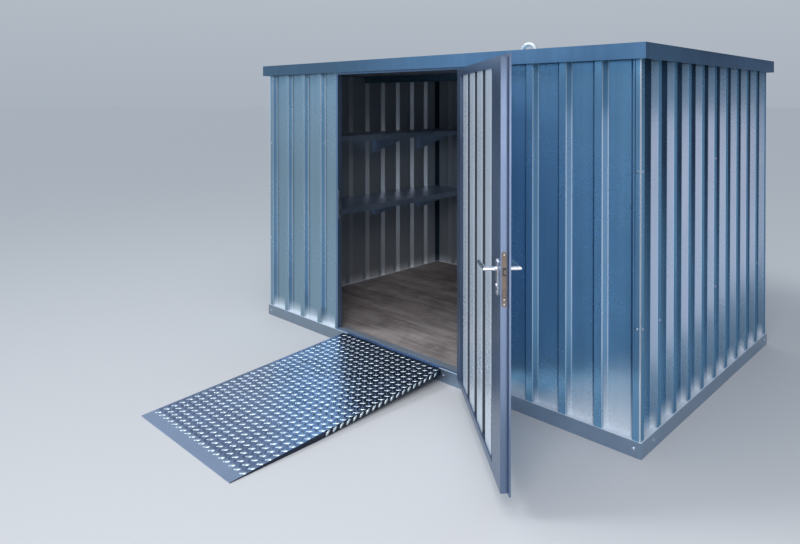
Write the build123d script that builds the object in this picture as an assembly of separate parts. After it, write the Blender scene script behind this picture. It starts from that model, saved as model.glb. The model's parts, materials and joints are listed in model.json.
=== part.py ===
from build123d import *
import math
import os

# Flat-packed steel storage container with one door leaf, shelves and a loading ramp.
# Millimetres. +X runs along the front to the right, -Y is the front, +Z is up.
# The origin is the middle of the plan, on the ground.

# Trapezoidal sheet
PITCH = 207.0
CROWN_WIDTH = 40.0
FLANK_WIDTH = 24.0
SHEET_DEPTH = 30.0
SHEET_THICKNESS = 1.0

# Plan, counted in pitches of the sheet
FRONT_PITCHES = 15
SIDE_PITCHES = 10
SHEET_PITCHES = 5

# Heights
BASE_HEIGHT = 80.0
ROOF_TOP = 2050.0
FASCIA_HEIGHT = 80.0

# Base frame
BASE_WIDTH = 52.0
BASE_WALL = 3.0
BASE_REVEAL = 8.0
JOIST_COUNT = 5
JOIST_WIDTH = 50.0
JOIST_WALL = 3.0
BOARD_THICKNESS = 21.0
BOARD_GAP = 2.0
BOARD_COUNT = 3

# Roof frame
ROOF_OVERHANG = 32.0
ROOF_FRAME_WALL = 2.0
FASCIA_LIP = 12.0
ROOF_SEAT_DROP = 60.0
ROOF_SEAT_WIDTH = 25.0
ROOF_EDGE_GAP = 1.0
BEAM_HEIGHT = 60.0
BEAM_WIDTH = 50.0
BEAM_WALL = 3.0

# Corner posts
POST_SIZE = 36.0
POST_WALL = 2.0

# Doorway, between two crowns of the front counted from the left end
STRIKE_RIB = 4
STRIKE_RIB_INSET = 12.5
HINGE_RIB = 10
HINGE_RIB_INSET = 62.5
STRIKE_JAMB_WIDTH = 20.0
JAMB_WALL = 2.0
HEAD_BOTTOM = 1958.0
SILL_HEIGHT = 12.0
SILL_WALL = 2.0
SILL_TAB = 42.0

# Door leaf
DOOR_THICKNESS = 40.0
DOOR_LIP_THICKNESS = 8.0
DOOR_LIP_FREE = 24.0
DOOR_LIP_HINGE = 23.0
DOOR_LIP_BOTTOM = 3.0
DOOR_LIP_TOP = 12.0
DOOR_GAP = 5.0
DOOR_LOCK_GAP = 13.0
DOOR_WALL = 2.0
HINGE_STILE_WIDTH = 115.0
DOOR_RAIL_HEIGHT = 40.0
DOOR_PITCHES = 4
DOOR_SHEET_SETBACK = 2.0
DOOR_OPEN_ANGLE = 138.2

# Hinges
HINGE_AXIS_OUT = 8.0
HINGE_AXIS_SIDE = 12.0
HINGE_RADIUS = 9.0
HINGE_PIN_RADIUS = 6.0
HINGE_PIN_CLEARANCE = 0.05
HINGE_END_GAP = 0.3
HINGE_KNUCKLE = 55.0
HINGE_PLATE = 3.0
HINGE_LEAF_PLATE = 46.0
HINGE_CAP = 3.0
HINGE_PIN_END_GAP = 1.0
HINGE_HEIGHTS = (340.0, 1700.0)

# Lock and lever handles
LOCK_PLATE_HEIGHT = 235.0
LOCK_PLATE_WIDTH = 22.0
LOCK_PLATE_THICKNESS = 2.5
LOCK_PLATE_BELOW = 150.0
LATCH_REACH = 4.5
LATCH_WIDTH = 12.0
LATCH_HEIGHT = 18.0
LATCH_LAND = 0.5
DEADBOLT_HEIGHT = 30.0
DEADBOLT_DROP = 92.0
DEADBOLT_REACH = 1.0
HANDLE_HEIGHT = 1040.0
HANDLE_BACKSET = 58.0
BACKPLATE_HEIGHT = 160.0
BACKPLATE_WIDTH = 40.0
BACKPLATE_THICKNESS = 6.0
BACKPLATE_ABOVE = 45.0
BACKPLATE_BEVEL = 2.0
ROUND_END_FLAT = 2.0
CYLINDER_DROP = 72.0
CYLINDER_RADIUS = 8.5
CYLINDER_REACH = 3.0
LEVER_RADIUS = 9.0
LEVER_NECK = 50.0
LEVER_GRIP = 128.0
LEVER_END_BEVEL = 3.0
LEVER_CLEARANCE = 0.08
SPINDLE_RADIUS = 4.5
SPINDLE_HOLE = 11.0

# Shelves on the left wall
SHELF_TOPS = (880.0, 1475.0)
SHELF_DEPTH = 450.0
SHELF_EDGE = 45.0
SHELF_WALL = 1.5
SHELF_END_GAP = 38.0
BRACKET_HEIGHT = 190.0
BRACKET_TIP = 30.0
BRACKET_WALL = 3.0
BRACKET_FLANGE = 40.0
BRACKET_BAYS = (1, 5, 8)

# Lifting eye
EYE_PLACE = 248.0
EYE_RING_RADIUS = 57.0
EYE_BAR_RADIUS = 16.5
EYE_BAR_SIDES = 12
EYE_CENTRE_RISE = 82.5
EYE_COLLAR_RADIUS = 34.0
EYE_COLLAR_HEIGHT = 22.0
EYE_STEM_RADIUS = 16.0
EYE_STEM_CLEARANCE = 1.0

# Loading ramp
RAMP_CENTRE = -160.0
RAMP_WIDTH = 920.0
RAMP_LENGTH = 1495.0
RAMP_STANDOFF = 14.0
RAMP_PLATE = 4.0
RAMP_FLANGE = 28.0
RAMP_HOOK_REACH = 19.0

# How far a cutting shape passes the face it cuts
CUT_OVER = 1.0

# Worked out from the values above
WALL_LENGTH = FRONT_PITCHES * PITCH + CROWN_WIDTH
WALL_WIDTH = SIDE_PITCHES * PITCH + CROWN_WIDTH
HALF_X = WALL_LENGTH / 2
HALF_Y = WALL_WIDTH / 2
FIRST_RIB_X = -HALF_X + CROWN_WIDTH / 2
HINGE_RIB_X = FIRST_RIB_X + HINGE_RIB * PITCH
OPENING_LEFT = FIRST_RIB_X + STRIKE_RIB * PITCH + STRIKE_RIB_INSET
OPENING_RIGHT = HINGE_RIB_X - HINGE_RIB_INSET
BASE_X = HALF_X + BASE_REVEAL
BASE_Y = HALF_Y + BASE_REVEAL
ROOF_X = BASE_X + ROOF_OVERHANG
ROOF_Y = BASE_Y + ROOF_OVERHANG
WALL_TOP = ROOF_TOP - ROOF_FRAME_WALL
WALL_HEIGHT = WALL_TOP - BASE_HEIGHT
FASCIA_BOTTOM = ROOF_TOP - FASCIA_HEIGHT
ROOM_SETBACK = SHEET_THICKNESS + POST_SIZE
JOIST_HEIGHT = BASE_HEIGHT - BOARD_THICKNESS
SILL_TOP = BASE_HEIGHT + SILL_HEIGHT
SEAT_TOP = ROOF_TOP - ROOF_SEAT_DROP + ROOF_FRAME_WALL

# The leaf is drawn closed, and turned about the hinge axis at the end
DOOR_BOX_LEFT = OPENING_LEFT + DOOR_LOCK_GAP
DOOR_BOX_RIGHT = OPENING_RIGHT - DOOR_GAP
DOOR_BOX_BOTTOM = SILL_TOP + DOOR_GAP
DOOR_BOX_TOP = HEAD_BOTTOM - DOOR_GAP
DOOR_BOTTOM = DOOR_BOX_BOTTOM - DOOR_LIP_BOTTOM
DOOR_TOP = DOOR_BOX_TOP + DOOR_LIP_TOP
DOOR_OUTER = -HALF_Y - DOOR_GAP - DOOR_LIP_THICKNESS
DOOR_INNER = DOOR_OUTER + DOOR_THICKNESS
DOOR_FREE_EDGE = DOOR_BOX_LEFT - DOOR_LIP_FREE
DOOR_HINGE_EDGE = DOOR_BOX_RIGHT + DOOR_LIP_HINGE
HINGE_X = DOOR_HINGE_EDGE + HINGE_AXIS_SIDE
HINGE_Y = DOOR_OUTER - HINGE_AXIS_OUT
HANDLE_X = DOOR_BOX_LEFT + HANDLE_BACKSET
DOOR_SHEET_RIGHT = DOOR_BOX_RIGHT - HINGE_STILE_WIDTH
DOOR_SHEET_LEFT = DOOR_SHEET_RIGHT - DOOR_PITCHES * PITCH - CROWN_WIDTH


def block(x0, x1, y0, y1, z0, z1):
    """A box between two opposite corners."""
    corner = Pos((x0 + x1) / 2, (y0 + y1) / 2, (z0 + z1) / 2)
    return corner * Box(x1 - x0, y1 - y0, z1 - z0)


def upright(points, z0, z1):
    """A closed outline in plan, raised from z0 to z1."""
    outline = Polyline(*points, close=True)
    return Pos(0, 0, z0) * extrude(make_face(outline), amount=z1 - z0)


def along_x(points, x0, x1):
    """A closed (y, z) outline, run along X from x0 to x1."""
    outline = Polyline(*[(0, y, z) for y, z in points], close=True)
    return Pos(x0, 0, 0) * extrude(make_face(outline), amount=x1 - x0, dir=(1, 0, 0))


def rod(start, end, radius):
    """A round bar between two points."""
    start = Vector(*start)
    end = Vector(*end)
    run = end - start
    plane = Plane(origin=start, z_dir=run)
    return extrude(plane * Circle(radius), amount=run.length)


def sheet_outline(start, end, ribs):
    """(place, depth) outline of the trapezoidal sheet; depth 0 is the outer face of a crown."""
    half_crown = CROWN_WIDTH / 2
    flank_angle = math.atan2(SHEET_DEPTH, FLANK_WIDTH)
    shift = SHEET_THICKNESS * math.tan(flank_angle / 2)

    def face(depth, inset):
        line = []
        for rib in ribs:
            rise = rib - half_crown
            fall = rib + half_crown
            if rise > start:
                line.append((rise - FLANK_WIDTH + inset, depth + SHEET_DEPTH))
                line.append((rise + inset, depth))
            if fall < end:
                line.append((fall - inset, depth))
                line.append((fall + FLANK_WIDTH - inset, depth + SHEET_DEPTH))
        inside = [point for point in line if start < point[0] < end]
        first = (start, inside[0][1])
        last = (end, inside[-1][1])
        return [first] + inside + [last]

    return face(0, 0) + face(SHEET_THICKNESS, shift)[::-1]


def rib_places(half_length, pitches):
    """Middles of the crowns along one wall."""
    first = -half_length + CROWN_WIDTH / 2
    return [first + PITCH * number for number in range(pitches + 1)]


def ribs_between(places, start, end):
    """The crowns that lie between two places, an edge crown included."""
    return [place for place in places if start - CROWN_WIDTH <= place <= end + CROWN_WIDTH]


FRONT_RIBS = rib_places(HALF_X, FRONT_PITCHES)
SIDE_RIBS = rib_places(HALF_Y, SIDE_PITCHES)


def front_sheet(start, end):
    ribs = ribs_between(FRONT_RIBS, start, end)
    outline = sheet_outline(start, end, ribs)
    return upright([(x, -HALF_Y + depth) for x, depth in outline], BASE_HEIGHT, WALL_TOP)


def back_sheet(start, end):
    ribs = ribs_between(FRONT_RIBS, start, end)
    outline = sheet_outline(start, end, ribs)
    return upright([(x, HALF_Y - depth) for x, depth in outline], BASE_HEIGHT, WALL_TOP)


def side_sheet(start, end, side):
    ribs = ribs_between(SIDE_RIBS, start, end)
    outline = sheet_outline(start, end, ribs)
    points = [(side * (HALF_X - depth), y) for y, depth in outline]
    return upright(points, BASE_HEIGHT, WALL_TOP)


def wall_sheets():
    """Sheets of five pitches, butted at the middle of a crown."""
    strike_side = OPENING_LEFT - STRIKE_JAMB_WIDTH
    first_joint = FRONT_RIBS[SHEET_PITCHES]
    second_joint = FRONT_RIBS[2 * SHEET_PITCHES]
    side_joint = SIDE_RIBS[SHEET_PITCHES]
    side_end = HALF_Y - SHEET_THICKNESS
    return {
        "front_wall_left": front_sheet(-HALF_X, strike_side),
        "front_wall_right": front_sheet(HINGE_RIB_X - CROWN_WIDTH / 2, HALF_X),
        "back_wall_left": back_sheet(-HALF_X, first_joint),
        "back_wall_middle": back_sheet(first_joint, second_joint),
        "back_wall_right": back_sheet(second_joint, HALF_X),
        "left_wall_front": side_sheet(-side_end, side_joint, -1),
        "left_wall_back": side_sheet(side_joint, side_end, -1),
        "right_wall_front": side_sheet(-side_end, side_joint, 1),
        "right_wall_back": side_sheet(side_joint, side_end, 1),
    }


def mitred_frame(section, half_x, half_y):
    """Four members with 45 degree corners; section is (inward, z) from the outer face."""
    front = along_x([(-half_y + inward, z) for inward, z in section], -half_x, half_x)
    back = mirror(front, about=Plane.XZ)
    turned = [(half_x - inward, z) for inward, z in section]
    outline = Polyline(*[(x, 0, z) for x, z in turned], close=True)
    right = extrude(make_face(outline), amount=2 * half_y, dir=(0, 1, 0))
    right = Pos(0, -half_y, 0) * right
    left = mirror(right, about=Plane.YZ)

    # Half planes through the four corners, each facing the front or back member
    low = min(z for _, z in section) - CUT_OVER
    high = max(z for _, z in section) + CUT_OVER
    reach = min(half_x, half_y)
    wedge_points = [(-half_x, -half_y), (half_x, -half_y), (half_x - reach, -half_y + reach)]
    wedge_points.append((-half_x + reach, -half_y + reach))
    front_zone = upright(wedge_points, low, high)
    back_zone = mirror(front_zone, about=Plane.XZ)
    return {
        "front": front & front_zone,
        "back": back & back_zone,
        "left": left - front_zone - back_zone,
        "right": right - front_zone - back_zone,
    }


def base_rails():
    """Box rails whose top is the ledge that the wall sheets stand on."""
    outer = [(0, 0), (BASE_WIDTH, 0), (BASE_WIDTH, BASE_HEIGHT), (0, BASE_HEIGHT)]
    low = BASE_WALL
    far = BASE_WIDTH - BASE_WALL
    high = BASE_HEIGHT - BASE_WALL
    inner = [(low, low), (far, low), (far, high), (low, high)]
    solid = mitred_frame(outer, BASE_X, BASE_Y)
    hollow = mitred_frame(inner, BASE_X, BASE_Y)
    return {"base_rail_" + side: solid[side] - hollow[side] for side in solid}


def roof_frame():
    """Inverted channel over the wall tops, with a fascia lip outside and a roof seat inside."""
    t = ROOF_FRAME_WALL
    web = ROOF_OVERHANG + BASE_REVEAL + ROOM_SETBACK
    seat = ROOF_TOP - ROOF_SEAT_DROP
    section = [
        (0, ROOF_TOP), (web + t, ROOF_TOP), (web + t, seat + t), (web + ROOF_SEAT_WIDTH, seat + t),
        (web + ROOF_SEAT_WIDTH, seat), (web, seat), (web, WALL_TOP), (t, WALL_TOP),
        (t, FASCIA_BOTTOM + t), (FASCIA_LIP, FASCIA_BOTTOM + t), (FASCIA_LIP, FASCIA_BOTTOM),
        (0, FASCIA_BOTTOM),
    ]
    frame = mitred_frame(section, ROOF_X, ROOF_Y)
    return {"fascia_" + side: frame[side] for side in frame}


def corner_posts():
    """Square tubes inside the corner crowns."""
    posts = {}
    outer_x = HALF_X - SHEET_THICKNESS
    outer_y = HALF_Y - SHEET_THICKNESS
    for row, side_y in (("front", -1), ("back", 1)):
        for column, side_x in (("left", -1), ("right", 1)):
            middle_x = side_x * (outer_x - POST_SIZE / 2)
            middle_y = side_y * (outer_y - POST_SIZE / 2)
            tube = Rectangle(POST_SIZE, POST_SIZE) - Rectangle(
                POST_SIZE - 2 * POST_WALL, POST_SIZE - 2 * POST_WALL
            )
            post = extrude(Pos(middle_x, middle_y) * tube, amount=WALL_HEIGHT)
            posts["corner_post_" + row + "_" + column] = Pos(0, 0, BASE_HEIGHT) * post
    return posts


def floor_parts():
    """Joists between the long rails, and plywood boards flush with the ledge."""
    inner_x = BASE_X - BASE_WIDTH
    inner_y = BASE_Y - BASE_WIDTH
    spacing = 2 * inner_x / (JOIST_COUNT + 1)
    joists = []
    for number in range(JOIST_COUNT):
        middle = -inner_x + spacing * (number + 1)
        half = JOIST_WIDTH / 2
        bar = block(middle - half, middle + half, -inner_y, inner_y, 0, JOIST_HEIGHT)
        hollow = block(
            middle - half + JOIST_WALL, middle + half - JOIST_WALL, -inner_y, inner_y,
            JOIST_WALL, JOIST_HEIGHT - JOIST_WALL,
        )
        joists.append(bar - hollow)

    board_length = (2 * inner_x - BOARD_GAP * (BOARD_COUNT - 1)) / BOARD_COUNT
    boards = []
    for number in range(BOARD_COUNT):
        start = -inner_x + number * (board_length + BOARD_GAP)
        end = start + board_length
        boards.append(block(start, end, -inner_y, inner_y, JOIST_HEIGHT, BASE_HEIGHT))
    return {
        "floor_joists": Compound(children=joists),
        "floor_boards": Compound(children=boards),
    }


def roof_parts():
    """Trapezoidal roof sheet on the inner seat, over one lengthwise beam with the lifting eye."""
    seat_x = HALF_X - ROOM_SETBACK - ROOF_FRAME_WALL - ROOF_EDGE_GAP
    seat_y = HALF_Y - ROOM_SETBACK - ROOF_FRAME_WALL - ROOF_EDGE_GAP
    ribs = [rib for rib in FRONT_RIBS if abs(rib) + CROWN_WIDTH / 2 + FLANK_WIDTH < seat_x]
    ribs = [rib for rib in ribs if rib != FRONT_RIBS[0]]
    crown_level = SEAT_TOP + SHEET_DEPTH + SHEET_THICKNESS
    outline = sheet_outline(-seat_x, seat_x, ribs)
    points = [(x, 0, crown_level - depth) for x, depth in outline]
    face = make_face(Polyline(*points, close=True))
    sheet = Pos(0, -seat_y, 0) * extrude(face, amount=2 * seat_y, dir=(0, 1, 0))

    beam_top = ROOF_TOP - ROOF_SEAT_DROP
    beam_end = HALF_X - ROOM_SETBACK
    half = BEAM_WIDTH / 2
    beam = block(-beam_end, beam_end, -half, half, beam_top - BEAM_HEIGHT, beam_top)
    inside = half - BEAM_WALL
    low = beam_top - BEAM_HEIGHT + BEAM_WALL
    beam -= block(-beam_end, beam_end, -inside, inside, low, beam_top - BEAM_WALL)

    hole_radius = EYE_STEM_RADIUS + EYE_STEM_CLEARANCE
    stem_hole = Pos(EYE_PLACE, 0, SEAT_TOP) * Cylinder(hole_radius, 3 * SHEET_DEPTH)
    sheet -= stem_hole
    return {"roof_sheet": sheet, "roof_beam": beam}


def lifting_eye():
    """Eye ring with its collar and stem, standing on the roof beam through the sheet."""
    foot = ROOF_TOP - ROOF_SEAT_DROP
    centre = ROOF_TOP + EYE_CENTRE_RISE
    section = Plane.XZ * Pos(EYE_RING_RADIUS, 0) * RegularPolygon(EYE_BAR_RADIUS, EYE_BAR_SIDES)
    ring = Pos(EYE_PLACE, 0, centre) * Rot(90, 0, 0) * revolve(section, axis=Axis.Z)
    stem_top = centre - EYE_RING_RADIUS
    stem = Pos(EYE_PLACE, 0, foot) * Cylinder(
        EYE_STEM_RADIUS, stem_top - foot, align=(Align.CENTER, Align.CENTER, Align.MIN)
    )
    crown_level = SEAT_TOP + SHEET_DEPTH + SHEET_THICKNESS
    collar = Pos(EYE_PLACE, 0, crown_level) * Cylinder(
        EYE_COLLAR_RADIUS, EYE_COLLAR_HEIGHT, align=(Align.CENTER, Align.CENTER, Align.MIN)
    )
    return {"lifting_eye": ring + stem + collar}


def door_frame_parts():
    """Strike jamb, hinge jamb, head and stepped sill round the doorway."""
    front = -HALF_Y
    inner = -HALF_Y + ROOM_SETBACK
    t = JAMB_WALL
    strike_left = OPENING_LEFT - STRIKE_JAMB_WIDTH
    strike = block(strike_left, OPENING_LEFT, front, inner, BASE_HEIGHT, WALL_TOP)
    strike -= block(strike_left + t, OPENING_LEFT - t, front + t, inner - t, BASE_HEIGHT, WALL_TOP)

    hinge_right = HINGE_RIB_X + CROWN_WIDTH / 2 - SHEET_THICKNESS
    hinge_front = front + SHEET_THICKNESS
    hinge = block(OPENING_RIGHT, hinge_right, hinge_front, inner, BASE_HEIGHT, WALL_TOP)
    hinge -= block(
        OPENING_RIGHT + t, hinge_right - t, hinge_front + t, inner - t, BASE_HEIGHT, WALL_TOP
    )

    head = block(OPENING_LEFT, OPENING_RIGHT, front, inner, HEAD_BOTTOM, WALL_TOP)
    head -= block(OPENING_LEFT, OPENING_RIGHT, front + t, inner - t, HEAD_BOTTOM + t, WALL_TOP - t)

    s = SILL_WALL
    tab_end = inner + SILL_TAB
    section = [
        (front, BASE_HEIGHT), (front, SILL_TOP), (inner, SILL_TOP), (inner, BASE_HEIGHT + s),
        (tab_end, BASE_HEIGHT + s), (tab_end, BASE_HEIGHT), (inner - s, BASE_HEIGHT),
        (inner - s, SILL_TOP - s), (front + s, SILL_TOP - s), (front + s, BASE_HEIGHT),
    ]
    sill = along_x(section, OPENING_LEFT, OPENING_RIGHT)
    return {"strike_jamb": strike, "hinge_jamb": hinge, "door_head": head, "door_sill": sill}


def hang(piece):
    """Turn a piece of the leaf from closed to the place where it stands open."""
    return piece.rotate(Axis((HINGE_X, HINGE_Y, 0), (0, 0, 1)), DOOR_OPEN_ANGLE)


def door_leaf_parts():
    """Stiles and rails with their outer lip, and the sheet between them."""
    t = DOOR_WALL
    lip_inner = DOOR_OUTER + DOOR_LIP_THICKNESS
    lock_inner = DOOR_SHEET_LEFT
    hinge_inner = DOOR_SHEET_RIGHT

    lock_outline = [
        (DOOR_FREE_EDGE, DOOR_OUTER), (lock_inner, DOOR_OUTER), (lock_inner, DOOR_INNER),
        (DOOR_BOX_LEFT, DOOR_INNER), (DOOR_BOX_LEFT, lip_inner), (DOOR_FREE_EDGE, lip_inner),
    ]
    lock_stile = upright(lock_outline, DOOR_BOTTOM, DOOR_TOP)
    lock_stile -= block(
        DOOR_BOX_LEFT + t, lock_inner - t, DOOR_OUTER + t, DOOR_INNER - t, DOOR_BOTTOM, DOOR_TOP
    )
    # The hollow box stops short of the lip at the foot and at the head
    for low, high in ((DOOR_BOTTOM, DOOR_BOX_BOTTOM), (DOOR_BOX_TOP, DOOR_TOP)):
        lock_stile -= block(DOOR_FREE_EDGE, lock_inner, lip_inner, DOOR_INNER, low, high)
    lock_stile += block(
        DOOR_FREE_EDGE, lock_inner, DOOR_OUTER, lip_inner, DOOR_BOTTOM, DOOR_BOX_BOTTOM
    )
    lock_stile += block(DOOR_FREE_EDGE, lock_inner, DOOR_OUTER, lip_inner, DOOR_BOX_TOP, DOOR_TOP)

    hinge_outline = [
        (hinge_inner, DOOR_OUTER), (DOOR_HINGE_EDGE, DOOR_OUTER), (DOOR_HINGE_EDGE, lip_inner),
        (DOOR_BOX_RIGHT, lip_inner), (DOOR_BOX_RIGHT, DOOR_INNER), (hinge_inner, DOOR_INNER),
    ]
    hinge_stile = upright(hinge_outline, DOOR_BOTTOM, DOOR_TOP)
    hinge_stile -= block(
        hinge_inner + t, DOOR_BOX_RIGHT - t, DOOR_OUTER + t, DOOR_INNER - t, DOOR_BOTTOM, DOOR_TOP
    )
    for low, high in ((DOOR_BOTTOM, DOOR_BOX_BOTTOM), (DOOR_BOX_TOP, DOOR_TOP)):
        hinge_stile -= block(hinge_inner, DOOR_HINGE_EDGE, lip_inner, DOOR_INNER, low, high)
    hinge_stile += block(
        hinge_inner, DOOR_HINGE_EDGE, DOOR_OUTER, lip_inner, DOOR_BOTTOM, DOOR_BOX_BOTTOM
    )
    hinge_stile += block(hinge_inner, DOOR_HINGE_EDGE, DOOR_OUTER, lip_inner, DOOR_BOX_TOP, DOOR_TOP)

    rail_top_section = [
        (DOOR_OUTER, DOOR_TOP), (lip_inner, DOOR_TOP), (lip_inner, DOOR_BOX_TOP),
        (DOOR_INNER, DOOR_BOX_TOP), (DOOR_INNER, DOOR_BOX_TOP - DOOR_RAIL_HEIGHT),
        (DOOR_OUTER, DOOR_BOX_TOP - DOOR_RAIL_HEIGHT),
    ]
    rail_low_section = [
        (DOOR_OUTER, DOOR_BOTTOM), (lip_inner, DOOR_BOTTOM), (lip_inner, DOOR_BOX_BOTTOM),
        (DOOR_INNER, DOOR_BOX_BOTTOM), (DOOR_INNER, DOOR_BOX_BOTTOM + DOOR_RAIL_HEIGHT),
        (DOOR_OUTER, DOOR_BOX_BOTTOM + DOOR_RAIL_HEIGHT),
    ]
    rails = []
    for section, low in (
        (rail_top_section, DOOR_BOX_TOP - DOOR_RAIL_HEIGHT),
        (rail_low_section, DOOR_BOX_BOTTOM),
    ):
        rail = along_x(section, lock_inner, hinge_inner)
        rail -= block(
            lock_inner, hinge_inner, DOOR_OUTER + t, DOOR_INNER - t,
            low + t, low + DOOR_RAIL_HEIGHT - t,
        )
        rails.append(rail)

    first_rib = lock_inner + CROWN_WIDTH / 2
    ribs = [first_rib + PITCH * number for number in range(DOOR_PITCHES + 1)]
    crown_face = DOOR_OUTER + DOOR_SHEET_SETBACK
    outline = sheet_outline(lock_inner, hinge_inner, ribs)
    infill = upright(
        [(x, crown_face + depth) for x, depth in outline],
        DOOR_BOX_BOTTOM + DOOR_RAIL_HEIGHT, DOOR_BOX_TOP - DOOR_RAIL_HEIGHT,
    )

    spindle_hole = rod(
        (HANDLE_X, DOOR_OUTER - CUT_OVER, HANDLE_HEIGHT),
        (HANDLE_X, DOOR_INNER + CUT_OVER, HANDLE_HEIGHT), SPINDLE_HOLE,
    )
    lock_stile -= spindle_hole
    return {
        "door_lock_stile": hang(lock_stile),
        "door_hinge_stile": hang(hinge_stile),
        "door_rails": hang(Compound(children=rails)),
        "door_sheet": hang(infill),
    }


def lock_parts():
    """Faceplate with latch and deadbolt on the leaf's free edge, and the two backplates."""
    face = DOOR_BOX_LEFT
    middle_y = (DOOR_OUTER + DOOR_LIP_THICKNESS + DOOR_INNER) / 2
    bottom = HANDLE_HEIGHT - LOCK_PLATE_BELOW
    top = bottom + LOCK_PLATE_HEIGHT
    half = LOCK_PLATE_WIDTH / 2
    plate = block(
        face - LOCK_PLATE_THICKNESS, face, middle_y - half, middle_y + half, bottom, top
    )
    rounded = plate.edges().filter_by(Axis.X)
    plate = fillet(rounded, (LOCK_PLATE_WIDTH - ROUND_END_FLAT) / 2)
    reach = face - LOCK_PLATE_THICKNESS - LATCH_REACH
    half_latch = LATCH_WIDTH / 2
    latch = block(
        reach, face - LOCK_PLATE_THICKNESS, middle_y - half_latch, middle_y + half_latch,
        HANDLE_HEIGHT - LATCH_HEIGHT / 2, HANDLE_HEIGHT + LATCH_HEIGHT / 2,
    )
    bevel = latch.edges().filter_by(Axis.Z).sort_by(Axis.X)[:2].sort_by(Axis.Y)[-1]
    latch = chamfer(bevel, LATCH_REACH - LATCH_LAND)
    bolt_z = HANDLE_HEIGHT - DEADBOLT_DROP
    bolt = block(
        face - LOCK_PLATE_THICKNESS - DEADBOLT_REACH, face - LOCK_PLATE_THICKNESS,
        middle_y - half_latch, middle_y + half_latch,
        bolt_z - DEADBOLT_HEIGHT / 2, bolt_z + DEADBOLT_HEIGHT / 2,
    )
    parts = {"lock_faceplate": hang(plate + latch + bolt)}

    low = HANDLE_HEIGHT + BACKPLATE_ABOVE - BACKPLATE_HEIGHT
    high = HANDLE_HEIGHT + BACKPLATE_ABOVE
    half = BACKPLATE_WIDTH / 2
    faces = (
        ("handle_plate_outside", DOOR_OUTER - BACKPLATE_THICKNESS, DOOR_OUTER, -1),
        ("handle_plate_inside", DOOR_INNER, DOOR_INNER + BACKPLATE_THICKNESS, 1),
    )
    for name, near, far, side in faces:
        plate = block(HANDLE_X - half, HANDLE_X + half, near, far, low, high)
        plate = fillet(plate.edges().filter_by(Axis.Y), (BACKPLATE_WIDTH - ROUND_END_FLAT) / 2)
        outer_y = far if side > 0 else near
        rim = plate.faces().filter_by(Axis.Y).sort_by(Axis.Y)[-1 if side > 0 else 0].edges()
        plate = chamfer(rim, BACKPLATE_BEVEL)
        bore = rod(
            (HANDLE_X, near - CUT_OVER, HANDLE_HEIGHT), (HANDLE_X, far + CUT_OVER, HANDLE_HEIGHT),
            LEVER_RADIUS + LEVER_CLEARANCE,
        )
        cylinder_z = HANDLE_HEIGHT - CYLINDER_DROP
        barrel_end = outer_y + side * CYLINDER_REACH
        barrel = rod(
            (HANDLE_X, outer_y, cylinder_z), (HANDLE_X, barrel_end, cylinder_z), CYLINDER_RADIUS
        )
        parts[name] = hang(plate - bore + barrel)
    return parts


def lever(side, start_y):
    """Neck out of the backplate and a round grip mitred to it, towards the hinges."""
    out = start_y + side * (BACKPLATE_THICKNESS + LEVER_NECK)
    path = Polyline(
        (HANDLE_X, start_y, HANDLE_HEIGHT), (HANDLE_X, out, HANDLE_HEIGHT),
        (HANDLE_X + LEVER_GRIP, out, HANDLE_HEIGHT),
    )
    plane = Plane(origin=(HANDLE_X, start_y, HANDLE_HEIGHT), z_dir=(0, side, 0))
    bar = sweep(plane * Circle(LEVER_RADIUS), path=path, transition=Transition.RIGHT)
    rim = bar.faces().sort_by(Axis.X)[-1].edges()
    return chamfer(rim, LEVER_END_BEVEL)


def lever_parts():
    """The outer lever carries the spindle, and the inner one is pinned on its end."""
    spindle = rod(
        (HANDLE_X, DOOR_OUTER, HANDLE_HEIGHT), (HANDLE_X, DOOR_INNER, HANDLE_HEIGHT), SPINDLE_RADIUS
    )
    return {
        "lever_outside": hang(lever(-1, DOOR_OUTER) + spindle),
        "lever_inside": hang(lever(1, DOOR_INNER)),
    }


def hinge_parts():
    """Lift-off hinges: the jamb half carries the pin, the leaf half stands on it."""
    fixed = []
    moving = []
    jamb_front = -HALF_Y + SHEET_THICKNESS
    jamb_face_end = HINGE_RIB_X - CROWN_WIDTH / 2
    for height in HINGE_HEIGHTS:
        low = height - HINGE_KNUCKLE
        high = height + HINGE_KNUCKLE
        lower = rod((HINGE_X, HINGE_Y, low), (HINGE_X, HINGE_Y, height), HINGE_RADIUS)
        pin_top = high - HINGE_CAP - HINGE_PIN_END_GAP
        pin = rod((HINGE_X, HINGE_Y, height), (HINGE_X, HINGE_Y, pin_top), HINGE_PIN_RADIUS)
        web = block(
            HINGE_X - HINGE_PLATE, HINGE_X + HINGE_PLATE, HINGE_Y, jamb_front, low, height
        )
        wing = block(
            HINGE_X - 2 * HINGE_PLATE, jamb_face_end, jamb_front - HINGE_PLATE, jamb_front,
            low, height,
        )
        fixed.append(lower + pin + web + wing)

        start = height + HINGE_END_GAP
        upper = rod((HINGE_X, HINGE_Y, start), (HINGE_X, HINGE_Y, high), HINGE_RADIUS)
        leaf_plate = block(
            DOOR_HINGE_EDGE - HINGE_LEAF_PLATE, HINGE_X, DOOR_OUTER - HINGE_PLATE, DOOR_OUTER,
            start, high,
        )
        bore = rod(
            (HINGE_X, HINGE_Y, start - CUT_OVER), (HINGE_X, HINGE_Y, high - HINGE_CAP),
            HINGE_PIN_RADIUS + HINGE_PIN_CLEARANCE,
        )
        moving.append(hang(upper + leaf_plate - bore))
    return {
        "hinges_jamb_half": Compound(children=fixed),
        "hinges_leaf_half": Compound(children=moving),
    }


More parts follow.
